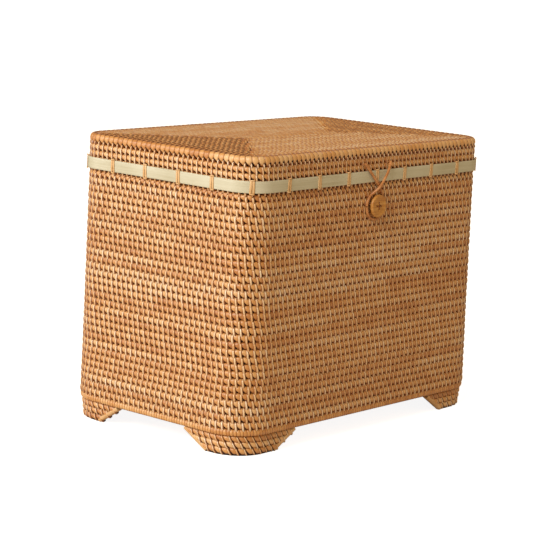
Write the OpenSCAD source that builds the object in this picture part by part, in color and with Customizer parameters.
// Woven rattan laundry hamper with a hinged lid, bamboo lid band and a cane loop closure.
// Millimetres. +Z is up, the closure is on the -Y face, the origin is under the basket's centre.

/* [Basket] */
// Width over the rim, left to right
top_w = 494; // [420:1:600]
// Depth over the rim, front to back
top_d = 313; // [250:1:376]
// Width over the lowest course
base_w = 514; // [440:1:640]
// Depth over the lowest course
base_d = 324; // [260:1:390]
// Outer corner radius at the rim
top_corner_r = 35; // [28:1:60]
// Outer corner radius at the lowest course
base_corner_r = 54; // [40:1:80]
// Height of one course of the basket
course_h = 9.5; // [8:0.1:12]
// Number of courses from the seam to the rim
course_count = 33; // [20:1:40]
// Thickness of the woven wall
wall_t = 9; // [7:0.5:12]
// Thickness of the woven base
base_t = 8; // [5:0.5:12]

/* [Feet] */
// Height of the feet
foot_h = 27; // [20:1:40]
// Length of a foot along the front or back, at the seam
foot_front_top = 118; // [95:1:150]
// Length of a foot along the front or back, at the floor
foot_front_floor = 75; // [62:1:90]
// Length of a foot along a side, at the seam
foot_side_top = 105; // [90:1:118]
// Length of a foot along a side, at the floor
foot_side_floor = 62; // [58:1:80]
// How far a foot's top sits in from the lowest course
foot_inset = 2.5; // [1:0.5:5]
// How far a foot leans in from the seam to the floor
foot_lean = 3; // [0:0.5:8]
// Width of the wrapped edge of a foot
foot_wrap_w = 5; // [3:0.5:8]

/* [Lid] */
// Height of one course of the lid
lid_course_h = 8.7; // [7:0.1:11]
// Number of courses in the lid's skirt
lid_course_count = 4; // [3:1:6]
// Thickness of the lid's skirt
skirt_t = 7; // [5:0.5:8]
// Height of the rolled course round the lid's top edge
edge_course_h = 13.4; // [11:0.2:18]
// Width of the rolled course round the lid's top edge
edge_course_w = 12; // [11:0.2:16]
// How far the rolled course stands out from the skirt
edge_course_out = 1; // [0:0.5:3]
// Thickness of the lid's top panel
lid_panel_t = 8; // [5:0.5:11]

/* [Bamboo bands] */
// Height of the two bamboo bands
band_h = 15.5; // [12:0.5:20]
// Thickness of the outer band
band_t = 2.8; // [1.5:0.1:4]
// Thickness of the inner band
inner_band_t = 2; // [1.5:0.1:2.5]
// Width of a peel tie round the bands
tie_w = 6; // [4:0.5:8]
// Thickness of a peel tie
tie_t = 0.9; // [0.6:0.1:1.1]
// Spacing that the ties aim at
tie_spacing = 60; // [50:1:90]

/* [Closure] */
// Diameter of the wooden button
button_d = 31.4; // [26:0.2:38]
// Thickness of the wooden button
button_t = 4.6; // [4:0.2:6]
// Height of the button's centre under the rim
button_drop = 30.5; // [28:0.5:45]
// Radius of the ring of four holes in the button
button_hole_ring = 4.2; // [3.6:0.1:6]
// Diameter of the peel that laces the button on
lacing_d = 2; // [1.5:0.1:2.4]
// Diameter of the cane in the closure loop
loop_cane_d = 3.6; // [2.6:0.1:4]
// Height of the loop's anchors above the lid's lower edge
anchor_h = 27; // [24:0.5:32]
// Distance between the loop's two anchors
anchor_spread = 55; // [44:1:70]

/* [Hinge rings] */
// Distance between the two hinge rings
hinge_spread = 300; // [200:1:330]
// Diameter of the cane in a hinge ring
hinge_cane_d = 3; // [2:0.1:3.4]
// How far the hinge axis stands behind the basket's back
hinge_out = 1; // [0.5:0.1:2]

/* [Fits] */
// Gap between the rim and the closed lid
lid_gap = 0.3; // [0.2:0.05:1]
// Gap between pieces that are lashed together
lash_gap = 0.2; // [0.1:0.05:0.3]
// Gap between a tie and the bands inside it
tie_play = 0.25; // [0.2:0.05:0.3]
// Space between the button's edge and the loop
loop_play = 1.2; // [1:0.1:2]
// Radial gap round a hinge ring in its holes
ring_play = 0.4; // [0.3:0.05:0.6]
// Radial gap round a peel or peg in its hole
hole_play = 0.3; // [0.2:0.05:0.5]

/* [Hidden] */
$fn = 48;

rattan = "#c98d4e";
rattan_rod = "#b9793a";
bamboo = "#e3dcb8";
peel = "#d79a55";
cane = "#c07a3e";
button_wood = "#c9a15c";

// Levels
seam_z = foot_h;
rim_z = seam_z + course_h * course_count;
lid_z = rim_z + lid_gap;
skirt_h = lid_course_h * lid_course_count;
lid_top_z = lid_z + skirt_h + edge_course_h;
flare_bow = 0.5; // share of the flare that is curved, most at the foot
corner_steps = 8;

// The basket's outline at a height
function drop(z) = 1 - (z - seam_z) / (rim_z - seam_z);
function flare(z) = (1 - flare_bow) * drop(z) + flare_bow * drop(z) * drop(z);
function half_w(z) = (top_w + (base_w - top_w) * flare(z)) / 2;
function half_d(z) = (top_d + (base_d - top_d) * flare(z)) / 2;
function corner_r(z) = top_corner_r + (base_corner_r - top_corner_r) * flare(z);
function level(z) = [z, half_w(z), half_d(z), corner_r(z)];

// Lid bands and ties. Distances run outwards from the skirt's outer face.
band_out = lash_gap + band_t;
inner_band_in = skirt_t + lash_gap + inner_band_t;
tie_base_z = lid_z + 0.1;
band_z = tie_base_z + tie_t + lash_gap + 0.1;
tie_top_z = band_z + band_h + lash_gap + tie_t;

// Closure
button_z = rim_z - button_drop;
button_hole_d = lacing_d + 2 * hole_play;
shank_d = 2 * button_hole_ring + lacing_d + 1.5;
loop_r = button_d / 2 + loop_play + loop_cane_d / 2;
// the wall stands further out the lower it is, so pieces clear it at their lowest point
button_wall_y = half_d(button_z - shank_d / 2);
loop_low_y = half_d(button_z - loop_r - loop_cane_d / 2) + loop_cane_d / 2 + lash_gap;
button_back_y = loop_low_y + loop_cane_d / 2 + 0.9;
button_face_y = button_back_y + button_t;
backing_d = shank_d + 6;
backing_t = 3;
button_edge_r = 1.4;

anchor_z = lid_z + anchor_h;
anchor_x = anchor_spread / 2;
anchor_ball_r = loop_cane_d / 2 + 0.5;
peg_d = 3.4;
peg_out = 0.8;
knot_r = 4.5;
anchor_y = top_d / 2 + peg_out + lid_gap + anchor_ball_r;
cross_z = rim_z - 2.5; // where the two strands of the loop cross
cross_back_y = top_d / 2 + band_out + tie_play + tie_t + loop_cane_d / 2 + 0.4;
cross_front_y = cross_back_y + loop_cane_d + 0.3;
tangent_a = acos(loop_r / (cross_z - button_z));

// Hinge rings: one circle round the hinge axis, through the basket's wall and the lid's
hinge_y = top_d / 2 + hinge_out;
hinge_z = rim_z + lid_gap / 2;
hinge_r = hinge_out + max(wall_t, inner_band_in) + ring_play + hinge_cane_d / 2;

// ---- Outlines and sections ----

function corner_pts(cx, cy, r, start) =
    [for (i = [0:corner_steps]) [cx + r * cos(start + 90 * i / corner_steps),
                                 cy + r * sin(start + 90 * i / corner_steps)]];

function outline(hw, hd, r) = concat(
    corner_pts(hw - r, hd - r, r, 0), corner_pts(r - hw, hd - r, r, 90),
    corner_pts(r - hw, r - hd, r, 180), corner_pts(hw - r, r - hd, r, 270));

function flip(list) = [for (i = [len(list) - 1:-1:0]) list[i]];

// A closed skin through rings of points, each ring with the same number of points
module skin(rings, closed_round) {
    n = len(rings[0]);
    m = len(rings);
    last = closed_round ? m - 1 : m - 2;
    sides = [for (j = [0:last], k = [0:n - 1])
        let (a = j * n + k, b = j * n + (k + 1) % n,
             d = ((j + 1) % m) * n + k, c = ((j + 1) % m) * n + (k + 1) % n)
        each [[a, d, c], [a, c, b]]];
    caps = closed_round ? [] : [[for (k = [0:n - 1]) k], [for (k = [n - 1:-1:0]) (m - 1) * n + k]];
    polyhedron(points = [for (r = rings) each r], faces = concat(sides, caps));
}

// A wall of thickness t that follows levels of [z, half width, half depth, corner radius]
module tapered_wall(levels, t) {
    outer = [for (l = levels) [for (p = outline(l[1], l[2], l[3])) [p[0], p[1], l[0]]]];
    inner = [for (l = levels) [for (p = outline(l[1] - t, l[2] - t, l[3] - t)) [p[0], p[1], l[0]]]];
    skin(concat(outer, flip(inner)), true);
}

module rounded_plate(hw, hd, r) {
    square([2 * hw, 2 * (hd - r)], center = true);
    square([2 * (hw - r), 2 * hd], center = true);
    for (x = [r - hw, hw - r], y = [r - hd, hd - r]) translate([x, y]) circle(r);
}

// An upright band that follows the lid's outline
module upright_band(hw, hd, r, t, h) {
    linear_extrude(h) difference() {
        rounded_plate(hw, hd, r);
        rounded_plate(hw - t, hd - t, r - t);
    }
}

module rod_section(w, h, r) {
    square([w - 2 * r, h], center = true);
    square([w, h - 2 * r], center = true);
    for (x = [r - w / 2, w / 2 - r], y = [r - h / 2, h / 2 - r]) translate([x, y]) circle(r);
}

// A rod of rounded section bent round an outline. hw, hd and r are at its outer face.
module bent_rod(hw, hd, r, w, h, edge_r) {
    for (s = [-1, 1]) {
        translate([0, s * (hd - w / 2), 0]) rotate([90, 0, 90])
            linear_extrude(2 * (hw - r), center = true) rod_section(w, h, edge_r);
        translate([s * (hw - w / 2), 0, 0]) rotate([90, 0, 0])
            linear_extrude(2 * (hd - r), center = true) rod_section(w, h, edge_r);
    }
    for (i = [0:3])
        translate([(i == 0 || i == 3 ? 1 : -1) * (hw - r), (i < 2 ? 1 : -1) * (hd - r), 0])
            rotate(90 * i) rotate_extrude(angle = 90)
                translate([r - w / 2, 0]) rod_section(w, h, edge_r);
}

// The ring of cane at one hinge, grown by play to make its hole
module hinge_torus(side, play) {
    translate([side * hinge_spread / 2, hinge_y, hinge_z]) rotate([0, 90, 0])
        rotate_extrude() translate([hinge_r, 0]) circle(d = hinge_cane_d + 2 * play);
}

module hinge_holes() {
    for (side = [-1, 1]) hinge_torus(side, ring_play);
}

// Straight pieces of peel or holes for them, at the button's four holes, from y_in out to y_out
module button_pegs(d, y_in, y_out) {
    for (i = [0:3])
        translate([button_hole_ring * cos(90 * i), -y_in, button_z + button_hole_ring * sin(90 * i)])
            rotate([90, 0, 0]) cylinder(d = d, h = y_out - y_in);
}

// ---- Basket ----

module base_panel() {
    z = seam_z + 1.5;
    color(rattan) translate([0, 0, z]) linear_extrude(base_t)
        rounded_plate(base_w / 2 - course_h - lash_gap, base_d / 2 - course_h - lash_gap,
                      base_corner_r - course_h - lash_gap);
}

module base_frame() {
    color(rattan_rod) translate([0, 0, seam_z + course_h / 2])
        bent_rod(base_w / 2, base_d / 2, base_corner_r, course_h, course_h, course_h * 0.42);
}

module body_wall() {
    z0 = seam_z + course_h;
    z1 = rim_z - course_h;
    steps = 6;
    color(rattan) difference() {
        tapered_wall([for (i = [0:steps]) level(z0 + (z1 - z0) * i / steps)], wall_t);
        hinge_holes();
        button_pegs(button_hole_d, button_wall_y - wall_t - 3, button_wall_y + 3);
    }
}

module body_rim() {
    color(rattan_rod) difference() {
        translate([0, 0, rim_z - course_h / 2])
            bent_rod(top_w / 2, top_d / 2, top_corner_r, wall_t, course_h, wall_t * 0.4);
        hinge_holes();
    }
}

// ---- Feet ----

foot_levels = [
    [0, base_w / 2 - foot_inset - foot_lean, base_d / 2 - foot_inset - foot_lean,
     base_corner_r - foot_inset - foot_lean],
    [foot_h, base_w / 2 - foot_inset, base_d / 2 - foot_inset, base_corner_r - foot_inset]
];

// What one foot keeps of the ring of wall under the basket: a leg with a slanting end each way
module foot_region(inset, over) {
    for (leg = [0, 1]) {
        half = leg == 0 ? base_w / 2 : base_d / 2;
        other = leg == 0 ? base_d / 2 : base_w / 2;
        floor_l = leg == 0 ? foot_front_floor : foot_side_floor;
        top_l = leg == 0 ? foot_front_top : foot_side_top;
        slope = (top_l - floor_l) / foot_h;
        end = [half - floor_l + inset + slope * over, half - top_l + inset - slope * over];
        far = half + over;
        profile = [[end[0], -over], [far, -over], [far, foot_h + over], [end[1], foot_h + over]];
        depth = base_corner_r + over;
        if (leg == 0) translate([0, other + over, 0]) rotate([90, 0, 0])
            linear_extrude(depth) polygon(profile);
        else translate([other + over - depth, 0, 0]) rotate([90, 0, 90])
            linear_extrude(depth) polygon(profile);
    }
}

module at_corner(side, face) {
    mirror([side < 0 ? 1 : 0, 0, 0]) mirror([0, face < 0 ? 1 : 0, 0]) children();
}

module foot(side, face) {
    color(rattan) at_corner(side, face) intersection() {
        tapered_wall(foot_levels, wall_t);
        foot_region(foot_wrap_w, 1);
    }
}

module foot_wrap(side, face) {
    color(peel) at_corner(side, face) difference() {
        intersection() {
            tapered_wall(foot_levels, wall_t);
            foot_region(0, 1);
        }
        foot_region(foot_wrap_w - lash_gap, 2);
    }
}

module foot_front_left() { foot(-1, -1); }
module foot_front_right() { foot(1, -1); }
module foot_rear_left() { foot(-1, 1); }
module foot_rear_right() { foot(1, 1); }
module foot_wrap_front_left() { foot_wrap(-1, -1); }
module foot_wrap_front_right() { foot_wrap(1, -1); }
module foot_wrap_rear_left() { foot_wrap(-1, 1); }
module foot_wrap_rear_right() { foot_wrap(1, 1); }

// ---- Lid ----

module lid_top_panel() {
    inset = edge_course_w - edge_course_out + lash_gap;
    color(rattan) translate([0, 0, lid_top_z - 0.4 - lid_panel_t]) linear_extrude(lid_panel_t)
        rounded_plate(top_w / 2 - inset, top_d / 2 - inset, top_corner_r - inset);
}

module lid_edge_course() {
    color(rattan_rod) translate([0, 0, lid_z + skirt_h + edge_course_h / 2])
        bent_rod(top_w / 2 + edge_course_out, top_d / 2 + edge_course_out,
                 top_corner_r + edge_course_out, edge_course_w, edge_course_h, 5.3);
}

module lid_skirt() {
    color(rattan) difference() {
        translate([0, 0, lid_z]) upright_band(top_w / 2, top_d / 2, top_corner_r, skirt_t, skirt_h);
        at_ties() tie_slots();
        hinge_holes();
        anchor_holes();
    }
}

module lid_band_outer() {
    color(bamboo) difference() {
        translate([0, 0, band_z])
            upright_band(top_w / 2 + band_out, top_d / 2 + band_out, top_corner_r + band_out, band_t, band_h);
        hinge_holes();
    }
}

module lid_band_inner() {
    inset = skirt_t + lash_gap;
    color(bamboo) difference() {
        translate([0, 0, band_z])
            upright_band(top_w / 2 - inset, top_d / 2 - inset, top_corner_r - inset, inner_band_t, band_h);
        hinge_holes();
    }
}

// Ties stand at each corner and evenly between the corners.
// In a tie's own frame +X points out of the lid and X = 0 is the skirt's outer face.
function tie_places(half, r) =
    let (span = 2 * (half - r) + PI * r / 2, gaps = max(2, round(span / tie_spacing)))
    [for (i = [1:gaps - 1]) span * (i / gaps - 0.5)];

module at_ties() {
    for (x = tie_places(top_w / 2, top_corner_r), s = [-1, 1])
        translate([x, s * top_d / 2, 0]) rotate(90 * s) children();
    for (y = tie_places(top_d / 2, top_corner_r), s = [-1, 1])
        translate([s * top_w / 2, y, 0]) rotate(90 - 90 * s) children();
    for (sx = [-1, 1], sy = [-1, 1])
        translate([sx * (top_w / 2 - top_corner_r), sy * (top_d / 2 - top_corner_r), 0])
            rotate(atan2(sy, sx)) translate([top_corner_r, 0, 0]) children();
}

module box_between(low, high) {
    translate(low) cube(high - low);
}

module tie() {
    x_in = -inner_band_in - tie_play;
    x_out = band_out + tie_play;
    difference() {
        box_between([x_in - tie_t, -tie_w / 2, tie_base_z], [x_out + tie_t, tie_w / 2, tie_top_z]);
        box_between([x_in, -tie_w, tie_base_z + tie_t], [x_out, tie_w, tie_top_z - tie_t]);
    }
}

// Where a tie passes through the skirt above the bands, and under it below them
module tie_slots() {
    side = tie_w / 2 + lash_gap;
    box_between([-skirt_t - 2, -side, tie_top_z - tie_t - lash_gap / 2],
                [2, side, tie_top_z + lash_gap / 2]);
    box_between([-skirt_t - 2, -side, lid_z - 1], [2, side, tie_base_z + tie_t + lash_gap / 2]);
}

module lid_band_ties() {
    color(peel) at_ties() tie();
}

// ---- Closure ----

function smooth(t) = t * t * (3 - 2 * t);

// One strand from its anchor to the crossing and on to where it meets the round of the loop
function strand(side, y_cross) = concat(
    [for (i = [0:7]) let (u = i / 8)
        [side * anchor_x * (1 - u), -anchor_y - (y_cross - anchor_y) * (1 - pow(1 - u, 2.5)),
         anchor_z + (cross_z - anchor_z) * u]],
    [for (i = [0:4]) let (u = i / 5)
        [-side * loop_r * sin(tangent_a) * u, -y_cross - (loop_low_y - y_cross) * smooth(u),
         cross_z + (button_z + loop_r * cos(tangent_a) - cross_z) * u]]);

round_pts = [for (i = [0:24]) let (a = 90 + tangent_a + (360 - 2 * tangent_a) * i / 24)
    [loop_r * cos(a), -loop_low_y, button_z + loop_r * sin(a)]];

loop_path = concat(strand(1, cross_front_y), round_pts, flip(strand(-1, cross_back_y)));

module tube_along(path, d, sides) {
    last = len(path) - 1;
    rings = [for (i = [0:last])
        let (t = path[min(i + 1, last)] - path[max(i - 1, 0)],
             n0 = cross(t, [0, 1, 0]), n = n0 / norm(n0),
             b0 = cross(n, t), b = b0 / norm(b0))
        [for (k = [0:sides - 1]) path[i] + d / 2 * (cos(360 * k / sides) * n - sin(360 * k / sides) * b)]];
    skin(rings, false);
}

module closure_loop() {
    color(cane) {
        tube_along(loop_path, loop_cane_d, 10);
        for (side = [-1, 1]) translate([side * anchor_x, -anchor_y, anchor_z]) sphere(anchor_ball_r);
    }
}

module anchor_holes() {
    for (side = [-1, 1])
        translate([side * anchor_x, -top_d / 2 + skirt_t + 1, anchor_z]) rotate([90, 0, 0])
            cylinder(d = peg_d + 2 * hole_play, h = skirt_t + 2);
}

module loop_anchors() {
    inside = top_d / 2 - skirt_t;
    color(cane) for (side = [-1, 1]) translate([side * anchor_x, 0, anchor_z]) {
        translate([0, -inside + 2, 0]) rotate([90, 0, 0]) cylinder(d = peg_d, h = skirt_t + 2 + peg_out);
        translate([0, lash_gap + 3.2 - inside, 0]) difference() {
            sphere(knot_r);
            translate([0, -knot_r - 3.2, 0]) cube(2 * knot_r, center = true);
        }
    }
}

module closure_button() {
    r = button_d / 2;
    e = button_edge_r;
    color(button_wood) difference() {
        translate([0, -button_back_y, button_z]) rotate([90, 0, 0]) rotate_extrude() {
            square([r - e, button_t]);
            translate([0, e]) square([r, button_t - 2 * e]);
            for (y = [e, button_t - e]) translate([r - e, y]) circle(e);
        }
        button_pegs(button_hole_d, button_back_y - 1, button_face_y + 1);
    }
}

module button_lacing() {
    backing_y = half_d(button_z) - wall_t - 1 - backing_t;
    color(peel) {
        // the four legs, from inside the backing to the button's face
        button_pegs(lacing_d, backing_y - lacing_d / 2, button_face_y + lacing_d / 2);
        // the wound shank between the wall and the button
        translate([0, -button_wall_y - lash_gap, button_z]) rotate([90, 0, 0])
            cylinder(d = shank_d, h = button_back_y - button_wall_y - lash_gap);
        // the cross over the button's face, and the same inside
        for (y = [-button_face_y - lacing_d / 2, lacing_d / 2 - backing_y], a = [0, 90])
            translate([0, y, button_z]) rotate([0, a, 0])
                cylinder(d = lacing_d, h = 2 * button_hole_ring + lacing_d, center = true);
    }
}

module button_backing() {
    y = half_d(button_z) - wall_t - 1;
    color(button_wood) difference() {
        translate([0, -y + backing_t, button_z]) rotate([90, 0, 0]) cylinder(d = backing_d, h = backing_t);
        button_pegs(button_hole_d, y - backing_t - 1, y + 1);
    }
}

// ---- Hinges ----

module hinge_ring_left() { color(cane) hinge_torus(-1, 0); }
module hinge_ring_right() { color(cane) hinge_torus(1, 0); }

base_panel();
base_frame();
body_wall();
body_rim();
foot_front_left();
foot_front_right();
foot_rear_left();
foot_rear_right();
foot_wrap_front_left();
foot_wrap_front_right();
foot_wrap_rear_left();
foot_wrap_rear_right();
lid_top_panel();
lid_edge_course();
lid_skirt();
lid_band_outer();
lid_band_inner();
lid_band_ties();
closure_loop();
loop_anchors();
closure_button();
button_lacing();
button_backing();
hinge_ring_left();
hinge_ring_right();
